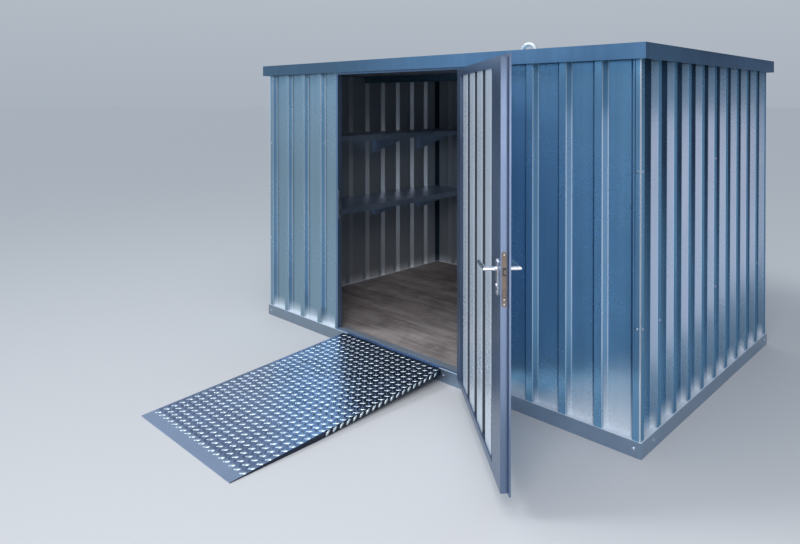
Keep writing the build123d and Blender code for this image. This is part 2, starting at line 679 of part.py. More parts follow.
def shelf_parts():
    """Folded trays along the left wall on gusset brackets."""
    wall_face = -HALF_X + SHEET_DEPTH + SHEET_THICKNESS
    front = wall_face + SHELF_DEPTH
    end = HALF_Y - SHELF_END_GAP
    t = SHELF_WALL
    parts = {}
    brackets = []
    for name, top in zip(("shelf_lower", "shelf_upper"), SHELF_TOPS):
        tray = block(wall_face, front, -end, end, top - SHELF_EDGE, top)
        tray -= block(wall_face + t, front - t, -end, end, top - SHELF_EDGE, top - t)
        parts[name] = tray
        for bay in BRACKET_BAYS:
            middle = (SIDE_RIBS[bay] + SIDE_RIBS[bay + 1]) / 2
            low = top - t - BRACKET_HEIGHT
            inner = wall_face + t
            outline = [
                (inner, top - t), (front - t, top - t), (front - t, top - t - BRACKET_TIP),
                (inner + BRACKET_TIP, low), (inner, low),
            ]
            gusset_face = make_face(Polyline(*[(x, 0, z) for x, z in outline], close=True))
            gusset = extrude(gusset_face, amount=BRACKET_WALL, dir=(0, 1, 0))
            gusset = Pos(0, middle - BRACKET_WALL / 2, 0) * gusset
            half = BRACKET_FLANGE / 2
            flange = block(
                wall_face, inner + t, middle - half, middle + half, low, top - SHELF_EDGE
            )
            brackets.append(gusset + flange)
    parts["shelf_brackets"] = Compound(children=brackets)
    return parts


def ramp_parts():
    """Tread plate with side flanges that taper to the ground, hooked on the base ledge."""
    left = RAMP_CENTRE - RAMP_WIDTH / 2
    right = RAMP_CENTRE + RAMP_WIDTH / 2
    upper_y = -BASE_Y - RAMP_STANDOFF
    lower_y = upper_y - RAMP_LENGTH
    upper_z = BASE_HEIGHT + RAMP_PLATE
    slope = (upper_z - RAMP_PLATE) / RAMP_LENGTH
    plate_section = [
        (lower_y, 0), (lower_y, RAMP_PLATE), (upper_y, upper_z), (upper_y, upper_z - RAMP_PLATE)
    ]
    plate = along_x(plate_section, left, right)
    flange_start = lower_y + RAMP_FLANGE / slope
    flange_section = [
        (lower_y, 0), (upper_y, upper_z - RAMP_PLATE), (upper_y, upper_z - RAMP_PLATE - RAMP_FLANGE),
        (flange_start, 0),
    ]
    for edge in (left, right - RAMP_PLATE):
        plate += along_x(flange_section, edge, edge + RAMP_PLATE)

    hook_left = left + RAMP_FLANGE
    hook_right = right - RAMP_FLANGE
    hook_back = -BASE_Y + RAMP_HOOK_REACH - RAMP_STANDOFF
    plate += block(hook_left, hook_right, upper_y, hook_back, BASE_HEIGHT, upper_z)
    plate += block(
        hook_left, hook_right, upper_y, upper_y + RAMP_PLATE, BASE_HEIGHT - RAMP_FLANGE, upper_z
    )
    return {"loading_ramp": plate}


def build():
    parts = {}
    for group in (
        base_rails, floor_parts, corner_posts, wall_sheets, roof_frame, roof_parts, lifting_eye,
        door_frame_parts, door_leaf_parts, lock_parts, lever_parts, hinge_parts, shelf_parts,
        ramp_parts,
    ):
        parts.update(group())
    return parts


os.makedirs("parts", exist_ok=True)
for node, shape in build().items():
    export_step(shape, os.path.join("parts", node + ".step"))
print("hinge axis", round(HINGE_X, 3), round(HINGE_Y, 3))
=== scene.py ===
import math

import bmesh
import bpy
from mathutils import Matrix, Vector
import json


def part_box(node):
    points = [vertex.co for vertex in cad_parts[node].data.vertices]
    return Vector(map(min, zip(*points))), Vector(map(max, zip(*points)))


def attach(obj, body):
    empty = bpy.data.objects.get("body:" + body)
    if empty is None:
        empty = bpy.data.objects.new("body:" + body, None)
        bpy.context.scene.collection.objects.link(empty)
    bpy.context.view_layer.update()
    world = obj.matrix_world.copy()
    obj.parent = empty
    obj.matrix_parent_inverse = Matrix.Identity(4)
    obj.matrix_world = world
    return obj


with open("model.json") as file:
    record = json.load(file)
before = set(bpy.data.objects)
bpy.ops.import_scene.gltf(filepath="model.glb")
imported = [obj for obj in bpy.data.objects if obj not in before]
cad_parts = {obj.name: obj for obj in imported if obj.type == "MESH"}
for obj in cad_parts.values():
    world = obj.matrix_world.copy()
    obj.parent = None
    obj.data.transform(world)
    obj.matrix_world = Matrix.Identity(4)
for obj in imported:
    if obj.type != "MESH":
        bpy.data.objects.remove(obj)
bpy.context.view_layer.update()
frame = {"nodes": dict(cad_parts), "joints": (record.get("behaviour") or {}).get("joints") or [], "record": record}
nodes = frame["nodes"]

# Outer planes of the wall sheets' crowns, lower face of the roof, and pairs of depths behind them
CROWN_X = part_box("right_wall_front")[1].x
CROWN_Y = -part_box("front_wall_right")[0].y
ROOF_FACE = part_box("roof_sheet")[0].z
RECESS = (0.014, 0.001)
CORNER_EDGE = (0.008, 0.005)
VALLEY_FACE = (0.029, 0.026)
BACK_OF_SHEET = (0.034, 0.032)
CLEAR_OF_CORNER = (0.036, 0.034)
UNDER_ROOF = (0.008, 0.004)

# Flanks of the wall sheets, by the distance from the middle of their depth
FLANK_MIDDLE = 0.015
FLANK_INNER = (0.0095, 0.0115)
FLANK_END = (0.0134, 0.0138)

# Reaches of the tones, the dust and the painted shade, highlight and reflection, along X, along Y or up
CORNER_REFLECTION_X = (1.0, 1.45)
LEFT_END_X = (-0.70, 0.40)
FRONT_WALL_Y = (0.032 - CROWN_Y, 0.036 - CROWN_Y)
VALLEY_SHADE_Z = (0.25, 1.45)
REFLECTION_FOOT_Z = 0.06
REFLECTION_HEIGHT = (0.11, 0.46)
REFLECTION_FALL = 1.3
DUST_AND_HIGHLIGHT_Z = (0.07, 0.16)

# Ranges of a normal's part in one direction, over which a mask changes
TURNED_AWAY = (-0.3, -0.1)
FACING_UP = (0.6, 0.95)
FACING_SIDE = (0.6, 0.9)
FACING_ROOM = (0.2, 0.4)

# Camera, from the photograph's vanishing points: nearly level, a little under two metres up
IMAGE_WIDTH = 800
IMAGE_HEIGHT = 544
FOCAL_PIXELS = 649.35
EYE = (2.9372, -4.1672, 1.7630)
YAW = 0.7690
PITCH_DOWN = 0.0075
AXIS_ROW = 106

# Studio
FLOOR_SIZE = 400.0
FLOOR_LEVEL = -0.0006
FLOOR_COLOUR = (0.61, 0.615, 0.62)
BACKDROP_LOW = (0.400, 0.450, 0.510)
BACKDROP_HIGH = (0.60, 0.64, 0.70)
SKY_TOP = (0.46, 0.53, 0.62)
SKY_ROUND = [
    (0.0, (0.56, 0.74, 0.95)),
    (0.15, (0.57, 0.70, 0.85)),
    (0.35, (0.56, 0.60, 0.66)),
    (0.58, (0.44, 0.47, 0.53)),
    (0.80, (0.10, 0.12, 0.16)),
    (1.0, (0.04, 0.05, 0.08)),
]
SKY_DARK_SIDE = (0.80, 0.60, 0.0)

# Tread pattern of the ramp
LUG_PITCH = 0.048
LUG_LENGTH = 0.038
LUG_WIDTH = 0.0145
LUG_HEIGHT = 0.0020
LUG_SIDES = 12
LUG_SMOOTH_ANGLE = 60
LUG_EDGE = 0.015
LUG_TOP_MARGIN = 0.024
ACROSS = Vector((1, 0, 0))
PLAIN_STRIP = 0.070
RAMP_STANDOFF = 0.014
RAMP_PLATE = 0.004
FLANGE_DEPTH_FOR_LUGS = 0.034
FLANGE_LUG_DROP = 0.016

# Fixings: width across flats, height of the head, radius of the washer
BOLT = (0.011, 0.005, 0.0095)
SCREW = (0.008, 0.0045, 0.0075)
WASHER_THICKNESS = 0.0015
WASHER_SIDES = 20
HEAD_SIDES = 16
BOLT_LEVEL = 0.043
BOLT_FROM_END = 0.040
BOLT_FROM_CORNER = 0.150
BOLT_FROM_BACK = 0.058
BOLT_BY_DOORWAY = 0.311
PITCH = 0.207
BACK_SHEET_JOINT = 2.5 * PITCH
HALF_CROWN = 0.020
WALL_SCREW_ROWS = (0.635, 1.415)
LOW_SCREW_ROW = 0.631
FLOOR_BAYS = 6
BOARD_JOINT_SIDE = 0.014
FLOOR_SCREW_PITCH = 0.32
FLOOR_SCREWS = 7

# Domed screw heads: radius and height
FLOOR_SCREW = (0.0045, 0.0006)
FACEPLATE_SCREW = (0.0034, 0.0009)
BACKPLATE_SCREW = (0.0032, 0.0011)

# Leaf: its hinge line and how far it stands open
SWING = next(joint for joint in frame["joints"] if joint["name"] == "door_swing")
HINGE_PLACE = SWING["pos_m"][:2]
OPEN_ANGLE = math.radians(-SWING["range_deg"][0])

# Places of the lock set, the strike and the leaf's grooves, as when the leaf is shut
LOCK_EDGE = -0.7015
LEAF_MIDDLE = -1.044
HANDLE_X = -0.641
OUTSIDE_PLATE = -1.074
INSIDE_PLATE = -1.022
CYLINDER_Z = 0.968
CYLINDER_REACH = 0.003
DEADBOLT_Z = 0.948
LATCH_Z = 1.040
FACEPLATE_SCREW_ROWS = (0.9005, 0.9215, 1.112)
BACKPLATE_SCREW_ROWS = (0.938, 1.073)
INFILL_INNER_FACE = -1.030
GROOVE_START = (0.006, 0.010)
GROOVE_END = (0.023, 0.027)
STRIKE_SCREW_ROWS = (0.905, 1.095)
STRIKE_MIDDLE = (-1.036, 1.0)

# Thin plates: length, width, thickness and cut corner
LOCK_SURROUND = (0.036, 0.0150, 0.0004, 0.003)
KEY_SLOT = (0.0090, 0.0026, 0.0003, 0.0006)
STRIKE = (0.210, 0.024, 0.0012, 0.003)
STRIKE_POCKET = (0.034, 0.0135, 0.0004, 0.003)


def unit(vector):
    return Vector(vector).normalized()


def frame_at(place, normal, along=(0, 0, 1)):
    """Matrix whose Z is the normal and whose X is as near to the given direction as it can be."""
    z = unit(normal)
    x = Vector(along)
    x = x - x.dot(z) * z
    if x.length < 1e-6:
        x = z.orthogonal()
    x.normalize()
    y = z.cross(x)
    matrix = Matrix((x, y, z)).transposed().to_4x4()
    matrix.translation = Vector(place)
    return matrix


# Mesh helpers

def ring(mesh, matrix, points):
    return [mesh.verts.new(matrix @ Vector(point)) for point in points]


def circle(radius, height, sides):
    turns = [2 * math.pi * i / sides for i in range(sides)]
    return [(radius * math.cos(turn), radius * math.sin(turn), height) for turn in turns]


def skin(mesh, loops):
    """Join each loop of vertices to the next, and close the last one."""
    for low, high in zip(loops, loops[1:]):
        for i in range(len(low)):
            j = (i + 1) % len(low)
            mesh.faces.new((low[i], low[j], high[j], high[i]))
    mesh.faces.new(loops[-1])


def turned(mesh, matrix, profile, sides):
    """A round solid from (radius, height) steps, closed at both ends."""
    loops = [ring(mesh, matrix, circle(radius, height, sides)) for radius, height in profile]
    skin(mesh, loops)
    mesh.faces.new(loops[0][::-1])


def finish_piece(mesh, name, material, body, smooth_angle=30):
    data = bpy.data.meshes.new(name)
    bmesh.ops.recalc_face_normals(mesh, faces=mesh.faces)
    for face in mesh.faces:
        face.smooth = True
    sharp = math.radians(smooth_angle)
    for edge in mesh.edges:
        if len(edge.link_faces) == 2 and edge.calc_face_angle(0) > sharp:
            edge.smooth = False
    mesh.to_mesh(data)
    mesh.free()
    piece = bpy.data.objects.new(name, data)
    piece.data.materials.append(material)
    bpy.context.scene.collection.objects.link(piece)
    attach(piece, body)


# Material helpers

class Nodes:
    """A node tree with short ways to add to it."""

    def __init__(self, tree):
        self.tree = tree

    def add(self, kind, **settings):
        node = self.tree.nodes.new(kind)
        for key, value in settings.items():
            setattr(node, key, value)
        return node

    def link(self, source, socket):
        self.tree.links.new(source, socket)

    def feed(self, socket, value):
        """Set a socket to a number or a colour, or link it to another node's output."""
        if isinstance(value, tuple):
            socket.default_value = (*value, 1.0)
        elif isinstance(value, (int, float)):
            socket.default_value = value
        else:
            self.link(value, socket)

    def parts(self, vector):
        """The outputs X, Y and Z of a vector."""
        node = self.add("ShaderNodeSeparateXYZ")
        self.link(vector, node.inputs["Vector"])
        return node.outputs

    def noise(self, vector, scale, detail=3.0, roughness=0.5):
        node = self.add("ShaderNodeTexNoise")
        node.inputs["Scale"].default_value = scale
        node.inputs["Detail"].default_value = detail
        node.inputs["Roughness"].default_value = roughness
        self.link(vector, node.inputs["Vector"])
        return node.outputs["Fac"]

    def cells(self, vector, scale):
        """A random value for each cell."""
        node = self.add("ShaderNodeTexVoronoi")
        node.inputs["Scale"].default_value = scale
        self.link(vector, node.inputs["Vector"])
        grey = self.add("ShaderNodeSeparateColor")
        self.link(node.outputs["Color"], grey.inputs["Color"])
        return grey.outputs["Red"]

    def spread(self, value, low, high, start=0.0, end=1.0):
        """The value's range start..end becomes low..high."""
        node = self.add("ShaderNodeMapRange")
        settings = {"Value": value, "From Min": start, "From Max": end, "To Min": low, "To Max": high}
        for name, setting in settings.items():
            self.feed(node.inputs[name], setting)
        return node.outputs["Result"]

    def rising(self, value, start, end):
        return self.spread(value, 0.0, 1.0, start, end)

    def falling(self, value, start, end):
        return self.spread(value, 1.0, 0.0, start, end)

    def calc(self, kind, first, second=0.0):
        node = self.add("ShaderNodeMath", operation=kind)
        self.feed(node.inputs[0], first)
        self.feed(node.inputs[1], second)
        return node.outputs["Value"]

    def plus(self, first, second):
        return self.calc("ADD", first, second)

    def minus(self, first, second):
        return self.calc("SUBTRACT", first, second)

    def times(self, first, second):
        return self.calc("MULTIPLY", first, second)

    def size(self, value):
        return self.calc("ABSOLUTE", value)

    def ramp(self, value, stops):
        node = self.add("ShaderNodeValToRGB")
        elements = node.color_ramp.elements
        while len(elements) < len(stops):
            elements.new(0.5)
        for element, (position, colour) in zip(elements, stops):
            element.position = position
            element.color = (*colour, 1.0)
        self.link(value, node.inputs["Fac"])
        return node.outputs["Color"]

    def mix(self, factor, first, second):
        node = self.add("ShaderNodeMix", data_type="RGBA")
        for value, index in ((factor, 0), (first, 6), (second, 7)):
            self.feed(node.inputs[index], value)
        return node.outputs[2]

    def bump(self, height, strength, distance):
        node = self.add("ShaderNodeBump")
        node.inputs["Strength"].default_value = strength
        node.inputs["Distance"].default_value = distance
        self.link(height, node.inputs["Height"])
        return node.outputs["Normal"]


def behind(plane, depths):
    """Where two depths behind an outer plane lie."""
    return [plane - depth for depth in depths]


class Look(Nodes):
    """A principled material, with masks that tell the parts of the container apart."""

    def __init__(self, name):
        self.material = bpy.data.materials.new(name)
        self.material.use_nodes = True
        super().__init__(self.material.node_tree)
        self.shader = self.tree.nodes["Principled BSDF"]
        coordinates = self.add("ShaderNodeTexCoord")
        self.place = coordinates.outputs["Object"]
        self.facing = coordinates.outputs["Normal"]

    def scaled(self, factors):
        node = self.add("ShaderNodeMapping")
        node.inputs["Scale"].default_value = factors
        self.link(self.place, node.inputs["Vector"])
        return node.outputs["Vector"]

    def recessed(self):
        """0 on the crowns of the wall sheets, 1 in their valleys."""
        plan = self.parts(self.place)
        in_x = self.falling(self.size(plan["X"]), *behind(CROWN_X, RECESS))
        in_y = self.falling(self.size(plan["Y"]), *behind(CROWN_Y, RECESS))
        return self.times(in_x, in_y)

    def flank_bands(self, axis, crown, other_axis, other_crown):
        """The flanks of one pair of walls, as two masks: close to a fold, and between the folds."""
        plan = self.parts(self.place)
        clear = self.falling(self.size(plan[other_axis]), *behind(other_crown, CLEAR_OF_CORNER))
        from_middle = self.size(self.minus(self.size(plan[axis]), crown - FLANK_MIDDLE))
        near_fold = self.rising(from_middle, *FLANK_INNER)
        fold = self.times(near_fold, self.falling(from_middle, *FLANK_END))
        flank = self.falling(from_middle, *FLANK_INNER)
        return self.times(fold, clear), self.times(flank, clear)

    def side_shade(self):
        """1 in the valleys of the right wall, fading out towards the ground."""
        plan = self.parts(self.place)
        beyond = self.rising(plan["X"], *behind(CROWN_X, BACK_OF_SHEET))
        valley = self.falling(plan["X"], *behind(CROWN_X, VALLEY_FACE))
        high = self.rising(plan["Z"], *VALLEY_SHADE_Z)
        return self.times(self.times(beyond, valley), high)

    def foot_reflection(self):
        """Where the painted reflection lies in the wall sheets' valleys: 1 at the foot, and reaching higher by the
        front corner.
        """
        height = self.spread(self.near_front_corner(), *REFLECTION_HEIGHT)
        level = self.calc("DIVIDE", self.minus(self.parts(self.place)["Z"], REFLECTION_FOOT_Z), height)
        low = self.calc("POWER", self.falling(level, 0.0, 1.0), REFLECTION_FALL)
        return self.times(low, self.recessed())

    def near_front_corner(self):
        """1 on the front wall beside its right corner, falling to 0 half a metre away."""
        plan = self.parts(self.place)
        along = self.rising(plan["X"], *CORNER_REFLECTION_X)
        front = self.falling(plan["Y"], *FRONT_WALL_Y)
        return self.times(along, front)

    def towards_left(self):
        """1 left of the doorway, falling to 0 at its right side."""
        return self.falling(self.parts(self.place)["X"], *LEFT_END_X)

    def corner_edges(self):
        """1 along the upright outer corners of the walls."""
        plan = self.parts(self.place)
        near_x = self.rising(self.size(plan["X"]), *behind(CROWN_X, CORNER_EDGE))
        near_y = self.rising(self.size(plan["Y"]), *behind(CROWN_Y, CORNER_EDGE))
        return self.times(near_x, near_y)

    def leaf_inside(self):
        """The inner side of the leaf's sheet, and the flanks of its grooves there, as two masks."""
        sine, cosine = math.sin(OPEN_ANGLE), math.cos(OPEN_ANGLE)

        def inwards(vector, origin):
            east = self.times(self.minus(vector["X"], origin[0]), -sine)
            north = self.times(self.minus(vector["Y"], origin[1]), cosine)
            return self.plus(east, north)

        reach = inwards(self.parts(self.place), HINGE_PLACE)
        depth = self.minus(INFILL_INNER_FACE - HINGE_PLACE[1], reach)
        inner = self.rising(inwards(self.parts(self.facing), (0.0, 0.0)), *FACING_ROOM)
        flank = self.times(self.rising(depth, *GROOVE_START), self.falling(depth, *GROOVE_END))
        return inner, self.times(flank, inner)

    def facing_room(self):
        """1 where a wall's or the roof's surface looks into the room, else 0."""
        plan = self.parts(self.place)
        normal = self.parts(self.facing)
        long_wall = self.rising(self.size(plan["Y"]), *behind(CROWN_Y, BACK_OF_SHEET))
        short_wall = self.minus(1.0, long_wall)
        outwards = []
        for axis, wall in (("X", short_wall), ("Y", long_wall)):
            side = self.calc("SIGN", plan[axis])
            outwards.append(self.times(self.times(side, normal[axis]), wall))
        wall = self.falling(self.plus(*outwards), *TURNED_AWAY)
        roof = self.rising(plan["Z"], *behind(ROOF_FACE, UNDER_ROOF))
        underside = self.falling(normal["Z"], *TURNED_AWAY)
        return self.plus(self.times(self.minus(1.0, roof), wall), self.times(roof, underside))

    def to(self, name, value):
        """Give the shader's named input a value."""
        self.feed(self.shader.inputs[name], value)


def shade(colour, factor):
    return tuple(min(1.0, channel * factor) for channel in colour)


# Tones of the zinc-coated steel, and the painted light and shade laid over it
SHEET_BLUE = (0.210, 0.430, 0.640)
FRAME_BLUE = (0.110, 0.225, 0.370)
DOORWAY_BLUE = (0.165, 0.260, 0.400)
LEAF_BLUE = (0.150, 0.205, 0.310)
SHELF_BLUE = (0.400, 0.500, 0.640)
# Painted highlight: a pale blue laid along the folds of the front and back walls
FOLD_HIGHLIGHT = (0.500, 0.620, 0.740)
# Painted shade on the flanks of the front and back walls
FLANK_SHADE = (0.080, 0.210, 0.360)
# Painted reflection: a greyer lilac tone on the flanks of the side walls, for the light they mirror
FLANK_REFLECTION_TINT = (0.195, 0.265, 0.345)
# Painted shade: near black in the right wall's valleys, fading towards the ground
VALLEY_SHADE = (0.012, 0.030, 0.060)
SILVER = (0.285, 0.360, 0.385)
SLATE = (0.060, 0.105, 0.140)
# Painted shade in the leaf's grooves
GROOVE_PAINTED_SHADE = (0.010, 0.014, 0.028)
GRAZING_TINT = (0.12, 0.20, 0.30)
INNER_COAT = (0.390, 0.430, 0.470)
LEAF_COAT = (0.640, 0.720, 0.800)
# Painted highlight on the walls' corners, and painted reflection low in the valleys
PAINTED_HIGHLIGHT = (0.90, 0.95, 0.99)
# Dust and painted highlight: a pale zinc tone near the ground and on upward faces
DUST_AND_HIGHLIGHT = (0.70, 0.76, 0.82)

# Crystals per metre, changes of tone by crystals and rolling streaks, and heights of the soft wave
SPANGLE = 75.0
CRYSTAL_STEP = 0.012
STREAK = 0.05
WAVE = 0.0048
SHEET_WAVE = 0.0064

# Parts of a noise's range that are stretched to a whole tone
CLOUD_RANGE = (0.35, 0.65)
LINE_RANGE = (0.3, 0.7)


class Steel(Look):
    """Zinc-coated steel: crystals of slightly different tone and gloss, rolling streaks, a soft wave."""

    def __init__(self, name, colour, roughness, metal=0.85, wave=WAVE):
        super().__init__(name)
        self.metal = metal
        crystals = self.spread(self.cells(self.place, SPANGLE), -CRYSTAL_STEP, CRYSTAL_STEP)
        fine = self.noise(self.place, 260.0, 2.0)
        rolled = self.noise(self.scaled((22.0, 22.0, 0.7)), 1.0, 3.0, 0.55)
        cloud = self.noise(self.place, 2.1, 3.0)
        tone = self.plus(crystals, self.spread(rolled, -STREAK, STREAK, *CLOUD_RANGE))
        tone = self.plus(tone, self.spread(cloud, 0.44, 0.56, *CLOUD_RANGE))
        tones = [(0.3, shade(colour, 0.78)), (0.5, colour), (0.7, shade(colour, 1.2))]
        self.base = self.ramp(tone, tones)
        gloss = self.plus(crystals, self.spread(fine, -0.02, 0.02))
        clouded = self.spread(cloud, roughness - 0.04, roughness + 0.04, *CLOUD_RANGE)
        self.gloss = self.plus(gloss, clouded)
        waves = self.noise(self.scaled((7.0, 7.0, 0.9)), 1.0, 2.0)
        self.to("Normal", self.bump(waves, 0.5, wave))

    def lay(self, colour, mask, weight=1.0, metal=None):
        """Lay a colour over the steel where the mask is 1, there with its own metallic value."""
        amount = self.times(mask, weight)
        self.base = self.mix(amount, self.base, colour)
        if metal is not None:
            self.metal = self.spread(amount, self.metal, metal)

    def dust_and_highlight_ledges(self, weight):
        # Dust and painted highlight on faces that look up, less metallic there
        upwards = self.rising(self.parts(self.facing)["Z"], *FACING_UP)
        self.lay(DUST_AND_HIGHLIGHT, upwards, weight, metal=0.1)

    def done(self):
        self.to("Base Color", self.base)
        self.to("Metallic", self.metal)
        self.to("Roughness", self.gloss)
        return self.material


def profiled_sheet():
    """Walls and roof: silvery to the left, with painted shade on flanks and in valleys, painted highlight on folds
    and corners, painted reflection low in the valleys, dull inside.
    """
    steel = Steel("profiled_sheet", SHEET_BLUE, 0.25, metal=0.68, wave=SHEET_WAVE)
    steel.lay(SILVER, steel.towards_left(), 0.70)
    # Painted shade in the right wall's valleys
    steel.lay(VALLEY_SHADE, steel.side_shade(), 0.80)
    fold, flank = steel.flank_bands("X", CROWN_X, "Y", CROWN_Y)
    # Painted reflection on the flanks of the side walls
    steel.lay(FLANK_REFLECTION_TINT, steel.plus(fold, flank), 0.70)
    fold, flank = steel.flank_bands("Y", CROWN_Y, "X", CROWN_X)
    # Painted shade on the flanks of the front and back walls
    steel.lay(FLANK_SHADE, flank, 0.70)
    inside = steel.facing_room()
    steel.lay(INNER_COAT, inside)
    # Painted highlight along the folds of the front and back walls
    steel.lay(FOLD_HIGHLIGHT, fold, 0.75)
    # Painted highlight along the walls' upright outer corners
    steel.lay(PAINTED_HIGHLIGHT, steel.corner_edges(), 0.90)
    # Painted reflection at the foot of the valleys, less metallic there
    steel.lay(PAINTED_HIGHLIGHT, steel.foot_reflection(), 0.95, metal=0.20)
    steel.gloss = steel.plus(steel.gloss, steel.times(inside, 0.12))
    steel.to("Specular Tint", GRAZING_TINT)
    return steel.done()


def galvanised_frame():
    """Rails, posts and fascia: darker to the left, and paler near the ground and on ledges, as dust and painted
    highlight.
    """
    steel = Steel("galvanised_frame", FRAME_BLUE, 0.34, metal=0.75)
    steel.lay(SLATE, steel.towards_left(), 0.70)
    # Dust and painted highlight, paler near the ground
    steel.lay(DUST_AND_HIGHLIGHT, steel.falling(steel.parts(steel.place)["Z"], *DUST_AND_HIGHLIGHT_Z), 0.30)
    steel.dust_and_highlight_ledges(0.95)
    return steel.done()


def doorway_steel():
    """Jambs, head and sill, whose tread is paler, as dust and painted highlight."""
    steel = Steel("doorway_steel", DOORWAY_BLUE, 0.34)
    steel.dust_and_highlight_ledges(0.40)
    return steel.done()


def door_infill():
    """The leaf's sheet: blue outside, paler inside, with painted shade darkening the flanks of its grooves."""
    steel = Steel("door_infill", SHEET_BLUE, 0.30, metal=0.62)
    inner, flanks = steel.leaf_inside()
    steel.lay(LEAF_COAT, inner, metal=0.40)
    # Painted shade on the flanks of the leaf's grooves, inside
    steel.lay(GROOVE_PAINTED_SHADE, flanks, 0.95)
    return steel.done()


def bright_metal(name, colour, roughness, brush, metallic=1.0):
    """Machined or cast fitting metal with fine brushing."""
    look = Look(name)
    lines = look.noise(look.scaled((220.0, 220.0, 24.0)), 1.0, 3.0)
    cloud = look.noise(look.place, 30.0, 3.0)
    tone = look.plus(
        look.spread(lines, 0.3, 0.7, *LINE_RANGE), look.spread(cloud, -0.15, 0.15, *LINE_RANGE)
    )
    look.to("Base Color", look.ramp(tone, [(0.2, shade(colour, 0.8)), (0.8, shade(colour, 1.12))]))
    look.to("Metallic", metallic)
    look.to("Roughness", look.spread(lines, roughness - brush, roughness + brush, *LINE_RANGE))
    look.to("Normal", look.bump(lines, 0.12, 0.0004))
    return look.material


# Tones of the ramp, and the length over which its worn foot fades
TREAD_BLUE = (0.21, 0.27, 0.42)
WORN_FOOT = (0.44, 0.54, 0.70)
WORN_FADE = 0.03
# Painted shade: near black on the ramp's side flanges
FLANGE_PAINTED_SHADE = (0.020, 0.026, 0.042)


def ramp_metal():
    """Mill-finish aluminium, scuffed along the way that loads are wheeled and worn at the foot."""
    look = Look("ramp_metal")
    scuffs = look.noise(look.scaled((60.0, 4.0, 60.0)), 1.0, 5.0, 0.7)
    cloud = look.noise(look.place, 5.0, 4.0, 0.6)
    tone = look.plus(
        look.spread(scuffs, 0.25, 0.75, *LINE_RANGE), look.spread(cloud, -0.2, 0.2, *LINE_RANGE)
    )
    tones = [(0.15, shade(TREAD_BLUE, 0.62)), (0.5, TREAD_BLUE), (0.85, shade(TREAD_BLUE, 1.3))]
    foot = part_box("loading_ramp")[0].y + PLAIN_STRIP
    worn = look.spread(look.parts(look.place)["Y"], 0.8, 0.0, foot, foot + WORN_FADE)
    base = look.mix(worn, look.ramp(tone, tones), WORN_FOOT)
    # Painted shade on faces that look sideways, the ramp's side flanges
    flange = look.spread(look.size(look.parts(look.facing)["X"]), 0.0, 0.9, *FACING_SIDE)
    look.to("Base Color", look.mix(flange, base, FLANGE_PAINTED_SHADE))
    look.to("Metallic", 0.96)
    gloss = look.plus(
        look.spread(scuffs, -0.05, 0.09, *LINE_RANGE), look.spread(cloud, 0.18, 0.32, *LINE_RANGE)
    )
    look.to("Roughness", gloss)
    look.to("Normal", look.bump(look.noise(look.place, 900.0, 2.0), 0.08, 0.0003))
    return look.material


# Tones of the boards
WOOD_TONES = [(0.1, (0.18, 0.155, 0.145)), (0.55, (0.35, 0.310, 0.300)), (0.95, (0.49, 0.45, 0.44))]
WOOD_DIRT = (0.115, 0.10, 0.095)
WOOD_SPOTS = (0.05, 0.045, 0.045)


def floor_wood():
    """Worn boards, with grain along X, dirty patches and dark spots."""
    look = Look("floor_wood")
    grain = look.noise(look.scaled((2.2, 46.0, 46.0)), 1.0, 5.0, 0.65)
    rings = look.noise(look.scaled((0.9, 9.0, 9.0)), 1.0, 3.0)
    dirt = look.noise(look.place, 4.2, 6.0, 0.68)
    spots = look.noise(look.place, 38.0, 4.0, 0.7)
    tone = look.plus(
        look.spread(grain, 0.2, 0.8, *LINE_RANGE), look.spread(rings, -0.25, 0.25, *LINE_RANGE)
    )
    wood = look.ramp(tone, WOOD_TONES)
    wood = look.mix(look.spread(dirt, 0.0, 0.75, 0.46, 0.72), wood, WOOD_DIRT)
    wood = look.mix(look.spread(spots, 0.0, 0.8, 0.62, 0.74), wood, WOOD_SPOTS)
    look.to("Base Color", wood)
    look.to("Roughness", look.spread(dirt, 0.55, 0.8, *LINE_RANGE))
    look.to("Normal", look.bump(grain, 0.25, 0.0015))
    return look.material


# Materials of the record's slots, then those of the pieces added here
LOOKS = {
    "profiled_sheet": profiled_sheet(),
    "galvanised_frame": galvanised_frame(),
    "doorway_steel": doorway_steel(),
    "door_steel": Steel("door_steel", LEAF_BLUE, 0.34).done(),
    "door_infill": door_infill(),
    "hinge_steel": bright_metal("hinge_steel", (0.30, 0.34, 0.40), 0.38, 0.06),
    "lock_brass": bright_metal("lock_brass", (0.17, 0.14, 0.12), 0.40, 0.08),
    "handle_metal": bright_metal("handle_metal", (0.80, 0.82, 0.86), 0.26, 0.05),
    "shelf_steel": Steel("shelf_steel", SHELF_BLUE, 0.40).done(),
    "floor_wood": floor_wood(),
    "eye_steel": bright_metal("eye_steel", (0.80, 0.84, 0.85), 0.38, 0.08, 0.7),
    "ramp_metal": ramp_metal(),
}
fixing_metal = bright_metal("fixing_metal", (0.62, 0.68, 0.76), 0.28, 0.06)
dull_metal = bright_metal("dull_metal", (0.30, 0.30, 0.31), 0.45, 0.08)
# Painted shade: dark plates standing for the shade in openings and pockets
opening_shade = bright_metal("opening_shade", (0.035, 0.055, 0.070), 0.50, 0.08, 0.3)
lug_metal = bright_metal("lug_metal", (0.76, 0.88, 0.98), 0.28, 0.05)
# Darker copy of the lug metal, as painted shade on the crossed lugs
shaded_lug_metal = bright_metal("shaded_lug_metal", (0.22, 0.28, 0.42), 0.34, 0.06)


def paint_subparts():
    """Every sub-part gets the material of its slot."""
    for subpart in frame["record"]["subparts"]:
        for material_slot in nodes[subpart["node"]].material_slots:
            material_slot.material = LOOKS[subpart["material_slot"]]


# Folds of the profiled sheets, rolled to a small radius

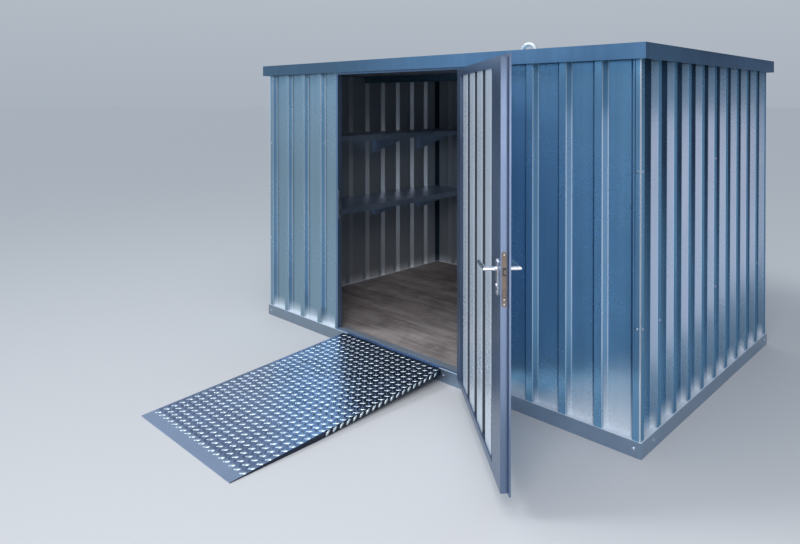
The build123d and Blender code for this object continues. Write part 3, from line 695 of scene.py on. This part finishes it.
FOLD_WIDTH = 0.0045
FOLD_ANGLE = (40, 65)
FOLDED_SHEETS = (
    "front_wall_left", "front_wall_right", "back_wall_left", "back_wall_middle", "back_wall_right",
    "left_wall_front", "left_wall_back", "right_wall_front", "right_wall_back", "door_sheet",
)


def round_folds(piece):
    """Bevel the upright folds of a sheet, and keep its flat faces flat."""
    mesh = bmesh.new()
    mesh.from_mesh(piece.data)
    bmesh.ops.dissolve_limit(mesh, angle_limit=0.001, verts=mesh.verts, edges=mesh.edges)
    weights = mesh.edges.layers.float.new("bevel_weight_edge")
    low, high = (math.radians(value) for value in FOLD_ANGLE)
    for edge in mesh.edges:
        run = edge.verts[1].co - edge.verts[0].co
        upright = abs(run.z) > 0.5
        fold = len(edge.link_faces) == 2 and low < edge.calc_face_angle(0) < high
        edge[weights] = 1.0 if upright and fold else 0.0
        edge.smooth = upright and fold
    for face in mesh.faces:
        face.smooth = True
    mesh.to_mesh(piece.data)
    mesh.free()
    bevel = piece.modifiers.new("folds", "BEVEL")
    bevel.limit_method = "WEIGHT"
    bevel.width = FOLD_WIDTH
    bevel.segments = 3
    bevel.use_clamp_overlap = False
    bevel.harden_normals = True


# Small bevels on the fascia and the ramp

EDGE_BEVEL = 0.0025
EDGE_ANGLE = 60
BEVELLED_PIECES = ("fascia_front", "fascia_back", "fascia_left", "fascia_right", "loading_ramp")


def catch_light(piece):
    """A small bevel on a piece's long square edges, so that they catch the light."""
    bevel = piece.modifiers.new("edges", "BEVEL")
    bevel.limit_method = "ANGLE"
    bevel.angle_limit = math.radians(EDGE_ANGLE)
    bevel.width = EDGE_BEVEL
    bevel.segments = 2
    bevel.use_clamp_overlap = True
    bevel.harden_normals = True


# Ramp tread: two sets of raised lugs at right angles, on the plate and on its side flanges

def lug(mesh, matrix):
    """A low dome on an oval foot, long along the matrix's X."""
    loops = []
    for scale, height in ((1.0, -0.1), (0.92, 0.45), (0.72, 0.85), (0.36, 1.0)):
        points = []
        for i in range(LUG_SIDES):
            angle = 2 * math.pi * i / LUG_SIDES
            x = math.cos(angle) * (LUG_LENGTH / 2 - (1 - scale) * LUG_WIDTH / 2)
            y = math.sin(angle) * LUG_WIDTH / 2 * scale
            points.append((x, y, height * LUG_HEIGHT))
        loops.append(ring(mesh, matrix, points))
    skin(mesh, loops)


def ramp_slope():
    """Middle of the tread's top edge, the way down it, its length and its number of lug rows."""
    low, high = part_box("loading_ramp")
    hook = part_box("base_rail_front")[0].y
    top_edge = Vector((0, hook - RAMP_STANDOFF, high.z))
    run = Vector((0, low.y, RAMP_PLATE)) - top_edge
    rows = int((run.length - PLAIN_STRIP - LUG_TOP_MARGIN) / LUG_PITCH) + 1
    return top_edge, run.normalized(), run.length, rows


def tread_lugs(shift, turn):
    """One set of lugs in rows down the ramp, shifted by a share of the pitch and turned to one side."""
    low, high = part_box("loading_ramp")
    top_edge, down, length, rows = ramp_slope()
    columns = int((high.x - low.x - LUG_EDGE) / LUG_PITCH) + 1
    mesh = bmesh.new()
    for row in range(rows):
        for column in range(columns):
            x = high.x - LUG_EDGE - (column + shift) * LUG_PITCH
            reach = LUG_TOP_MARGIN + (row + shift) * LUG_PITCH
            if x >= low.x + LUG_EDGE and reach <= length - PLAIN_STRIP:
                place = top_edge + down * reach + ACROSS * x
                lug(mesh, frame_at(place, ACROSS.cross(-down), ACROSS - turn * down))
    return mesh


def flange_lugs(mesh):
    """A row of lugs down each side flange, where it is deep enough."""
    low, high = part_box("loading_ramp")
    top_edge, down, _, rows = ramp_slope()
    for side, x in ((-1, low.x), (1, high.x)):
        for row in range(rows):
            edge = top_edge + down * (LUG_TOP_MARGIN + (row + 0.5) * LUG_PITCH)
            if edge.z >= FLANGE_DEPTH_FOR_LUGS:
                place = (x, edge.y, edge.z - FLANGE_LUG_DROP)
                lug(mesh, frame_at(place, (side, 0, 0), (0, 1, 1)))


def ramp_lugs():
    """The ramp's tread pattern, a set of lugs each way, the crossed set in a darker copy of the metal as painted
    shade.
    """
    along = tread_lugs(0.0, 1)
    flange_lugs(along)
    finish_piece(along, "ramp_lugs", lug_metal, "container", LUG_SMOOTH_ANGLE)
    # The crossed set takes the darker copy, as painted shade
    crossed = tread_lugs(0.5, -1)
    finish_piece(crossed, "ramp_lugs_crossed", shaded_lug_metal, "container", LUG_SMOOTH_ANGLE)


# Fixings of the frame, the sheets and the floor

def hexagon_head(mesh, matrix, flats, height, washer):
    """A hexagon head with a low chamfer, on its washer."""
    turned(mesh, matrix, [(washer, -0.001), (washer, WASHER_THICKNESS)], WASHER_SIDES)
    corner = flats / math.sqrt(3)
    base = WASHER_THICKNESS
    steps = [(corner, base - 0.0005), (corner, base + 0.8 * height), (0.86 * corner, base + height)]
    skin(mesh, [ring(mesh, matrix, circle(radius, level, 6)) for radius, level in steps])


def base_bolts():
    """Bolts through the base rails, near their ends and beside the doorway."""
    low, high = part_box("base_rail_front")
    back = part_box("base_rail_back")[1].y
    places = []
    for x in (low.x + BOLT_FROM_END, BOLT_BY_DOORWAY, high.x - BOLT_FROM_END):
        places.append(((x, low.y, BOLT_LEVEL), (0, -1, 0)))
    for x in (low.x + BOLT_FROM_END, high.x - BOLT_FROM_END):
        places.append(((x, back, BOLT_LEVEL), (0, 1, 0)))
    for side, face in ((-1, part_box("base_rail_left")[0].x), (1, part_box("base_rail_right")[1].x)):
        for y in (low.y + BOLT_FROM_CORNER, back - BOLT_FROM_BACK):
            places.append(((face, y, BOLT_LEVEL), (side, 0, 0)))
    mesh = bmesh.new()
    for place, normal in places:
        hexagon_head(mesh, frame_at(place, normal), *BOLT)
    finish_piece(mesh, "base_bolts", fixing_metal, "container")


def wall_screws():
    """Screws with sealing washers, in the sheets' joint crowns and corner crowns."""
    corner_x = CROWN_X - HALF_CROWN
    corner_y = CROWN_Y - HALF_CROWN
    places = []
    for z in WALL_SCREW_ROWS:
        for x in (-corner_x, corner_x):
            places.append(((x, -CROWN_Y, z), (0, -1, 0)))
        for x in (-corner_x, -BACK_SHEET_JOINT, BACK_SHEET_JOINT, corner_x):
            places.append(((x, CROWN_Y, z), (0, 1, 0)))
        for side in (-1, 1):
            for y in (-corner_y, 0.0, corner_y):
                places.append(((side * CROWN_X, y, z), (side, 0, 0)))
    for side in (-1, 1):
        for y in (PITCH - corner_y, corner_y - PITCH):
            places.append(((side * CROWN_X, y, LOW_SCREW_ROW), (side, 0, 0)))
    mesh = bmesh.new()
    for place, normal in places:
        hexagon_head(mesh, frame_at(place, normal), *SCREW)
    finish_piece(mesh, "wall_screws", fixing_metal, "container")


def round_head(mesh, matrix, radius, height):
    """A low domed screw head."""
    steps = [
        (radius, -0.0004), (radius, 0.3 * height), (0.82 * radius, 0.8 * height), (0.4 * radius, height)
    ]
    turned(mesh, matrix, steps, HEAD_SIDES)


def floor_screws():
    """Rows of flush screws where the boards lie on the joists, two by two at the boards' joints."""
    board_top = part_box("floor_boards")[1]
    spacing = 2 * board_top.x / FLOOR_BAYS
    mesh = bmesh.new()
    for number in range(1 - FLOOR_BAYS // 2, FLOOR_BAYS // 2):
        joist = number * spacing
        at_joint = abs(number) == 1
        rows = (joist - BOARD_JOINT_SIDE, joist + BOARD_JOINT_SIDE) if at_joint else (joist,)
        for x in rows:
            for step in range(FLOOR_SCREWS):
                y = (step - FLOOR_SCREWS // 2) * FLOOR_SCREW_PITCH
                round_head(mesh, frame_at((x, y, board_top.z), (0, 0, 1)), *FLOOR_SCREW)
    finish_piece(mesh, "floor_screws", dull_metal, "container")


# Lock fittings

def on_leaf(x, y, z):
    """The place, in the open leaf, of a point given in the shut one."""
    east = x - HINGE_PLACE[0]
    north = y - HINGE_PLACE[1]
    cosine, sine = math.cos(OPEN_ANGLE), math.sin(OPEN_ANGLE)
    return (
        HINGE_PLACE[0] + east * cosine - north * sine, HINGE_PLACE[1] + east * sine + north * cosine, z
    )


def leaf_frame(place, normal):
    """Matrix on the open leaf whose Z is the normal and whose X points up."""
    end = on_leaf(*(a + b for a, b in zip(place, normal)))
    start = on_leaf(*place)
    return frame_at(start, [b - a for a, b in zip(start, end)])


def flat_plate(mesh, matrix, length, width, thickness, corner):
    """A thin plate, long along the matrix's X, with cut corners and a small bevel round its top."""
    c = corner
    loops = []
    for inset, level in ((0.0, -0.0003), (0.0, 0.6 * thickness), (0.3 * thickness, thickness)):
        a = length / 2 - inset
        b = width / 2 - inset
        quarter = [(a, b - c), (a - 0.3 * c, b - 0.3 * c), (a - c, b)]
        half = quarter + [(-x, y) for x, y in quarter[::-1]]
        points = half + [(x, -y) for x, y in half[::-1]]
        loops.append(ring(mesh, matrix, [(x, y, level) for x, y in points]))
    skin(mesh, loops)


def lock_screws():
    """Faceplate and backplate screws."""
    mesh = bmesh.new()
    for z in FACEPLATE_SCREW_ROWS:
        round_head(mesh, leaf_frame((LOCK_EDGE, LEAF_MIDDLE, z), (-1, 0, 0)), *FACEPLATE_SCREW)
    for face, side in ((OUTSIDE_PLATE, -1), (INSIDE_PLATE, 1)):
        for z in BACKPLATE_SCREW_ROWS:
            round_head(mesh, leaf_frame((HANDLE_X, face, z), (0, side, 0)), *BACKPLATE_SCREW)
    finish_piece(mesh, "lock_screws", fixing_metal, "door")


def lock_openings():
    """Painted shade as dark plates: surrounds of the latch and the deadbolt, and the key slots."""
    mesh = bmesh.new()
    for z in (LATCH_Z, DEADBOLT_Z):
        flat_plate(mesh, leaf_frame((LOCK_EDGE, LEAF_MIDDLE, z), (-1, 0, 0)), *LOCK_SURROUND)
    for face, side in ((OUTSIDE_PLATE, -1), (INSIDE_PLATE, 1)):
        matrix = leaf_frame((HANDLE_X, face + side * CYLINDER_REACH, CYLINDER_Z), (0, side, 0))
        flat_plate(mesh, matrix, *KEY_SLOT)
    finish_piece(mesh, "lock_openings", opening_shade, "door")


def strike_plate():
    """Bright strike on the jamb, with dark plates for the latch and bolt pockets as painted shade."""
    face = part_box("strike_jamb")[1].x
    y, middle_z = STRIKE_MIDDLE
    front = face + STRIKE[2]
    plate = bmesh.new()
    flat_plate(plate, frame_at((face, y, middle_z), (1, 0, 0)), *STRIKE)
    for z in STRIKE_SCREW_ROWS:
        round_head(plate, frame_at((front, y, z), (1, 0, 0)), *FACEPLATE_SCREW)
    finish_piece(plate, "strike_plate", fixing_metal, "container")
    pockets = bmesh.new()
    for z in (DEADBOLT_Z, LATCH_Z):
        flat_plate(pockets, frame_at((front, y, z), (1, 0, 0)), *STRIKE_POCKET)
    finish_piece(pockets, "strike_pockets", opening_shade, "container")


# Studio: plain pale floor, soft sky and large lamps

def studio_floor():
    """A wide plain floor, a hair below the ground plane."""
    look = Look("studio_floor")
    look.to("Base Color", FLOOR_COLOUR)
    look.to("Roughness", 0.75)
    look.to("Specular IOR Level", 0.2)
    half = FLOOR_SIZE / 2
    mesh = bmesh.new()
    outline = ((-half, -half), (half, -half), (half, half), (-half, half))
    mesh.faces.new([mesh.verts.new((x, y, FLOOR_LEVEL)) for x, y in outline])
    data = bpy.data.meshes.new("studio_floor")
    mesh.to_mesh(data)
    mesh.free()
    floor = bpy.data.objects.new("studio_floor", data)
    floor.data.materials.append(look.material)
    bpy.context.scene.collection.objects.link(floor)


def studio_sky():
    """A sky that is darker on one side, behind a plain pale backdrop that the camera sees."""
    world = bpy.data.worlds.new("studio_sky")
    bpy.context.scene.world = world
    world.use_nodes = True
    sky = Nodes(world.node_tree)
    direction = sky.add("ShaderNodeTexCoord").outputs["Generated"]
    height = sky.parts(direction)["Z"]
    towards_dark = sky.add("ShaderNodeVectorMath", operation="DOT_PRODUCT")
    towards_dark.inputs[1].default_value = SKY_DARK_SIDE
    sky.link(direction, towards_dark.inputs[0])
    round_sky = sky.ramp(sky.rising(towards_dark.outputs["Value"], -1.0, 1.0), SKY_ROUND)
    lit = sky.mix(sky.rising(height, 0.15, 0.7), round_sky, SKY_TOP)
    backdrop = sky.ramp(sky.rising(height, 0.0, 0.6), [(0.0, BACKDROP_LOW), (1.0, BACKDROP_HIGH)])
    seen = sky.add("ShaderNodeLightPath").outputs["Is Camera Ray"]
    background = sky.tree.nodes["Background"]
    sky.link(sky.mix(seen, lit, backdrop), background.inputs["Color"])


def lamp(name, place, target, width, height, watts, colour, spread=180):
    data = bpy.data.lights.new(name, "AREA")
    data.spread = math.radians(spread)
    data.shape = "RECTANGLE"
    data.size = width
    data.size_y = height
    data.energy = watts
    data.color = colour
    light = bpy.data.objects.new(name, data)
    light.location = place
    light.visible_camera = False
    light.rotation_euler = (Vector(target) - Vector(place)).to_track_quat("-Z", "Y").to_euler()
    bpy.context.scene.collection.objects.link(light)


def sun(name, towards, strength, angle, colour):
    data = bpy.data.lights.new(name, "SUN")
    data.energy = strength
    data.angle = math.radians(angle)
    data.color = colour
    light = bpy.data.objects.new(name, data)
    light.rotation_euler = Vector(towards).to_track_quat("-Z", "Y").to_euler()
    bpy.context.scene.collection.objects.link(light)


def studio_lamps():
    """A soft sun, two lamps from above, and two upright panels that the sheets mirror."""
    sun("soft_sun", (0.72, 0.69, -0.78), 0.9, 16, (1.0, 0.99, 0.98))
    lamp("key", (3.6, -5.6, 4.4), (1.6, -1.4, 0.8), 3.0, 3.0, 175, (1.0, 0.95, 0.94))
    lamp("top", (0.0, -2.6, 6.0), (0, -1.6, 0), 4.0, 4.0, 90, (0.98, 0.99, 1.0))
    lamp("side_panel", (2.5, -0.52, 0.95), (1.63, -0.02, 1.05), 1.9, 1.5, 1.65, (1.0, 0.62, 0.56), 55)
    lamp("edge_panel", (2.25, -2.33, 1.0), (1.34, -1.85, 1.0), 0.35, 1.9, 0.85, (1.0, 0.93, 0.92), 60)


def camera():
    data = bpy.data.cameras.new("camera")
    data.lens = FOCAL_PIXELS / IMAGE_WIDTH * data.sensor_width
    data.shift_y = (AXIS_ROW - IMAGE_HEIGHT / 2) / IMAGE_WIDTH
    data.clip_end = 200
    view = bpy.data.objects.new("camera", data)
    view.location = EYE
    view.rotation_euler = (math.pi / 2 - PITCH_DOWN, 0, YAW)
    bpy.context.scene.collection.objects.link(view)
    bpy.context.scene.camera = view


# The scene, put together

paint_subparts()
for name in FOLDED_SHEETS:
    round_folds(nodes[name])
for name in BEVELLED_PIECES:
    catch_light(nodes[name])
ramp_lugs()
base_bolts()
wall_screws()
floor_screws()
lock_screws()
lock_openings()
strike_plate()
studio_floor()
studio_sky()
studio_lamps()
camera()
bpy.context.scene.view_settings.view_transform = "Standard"
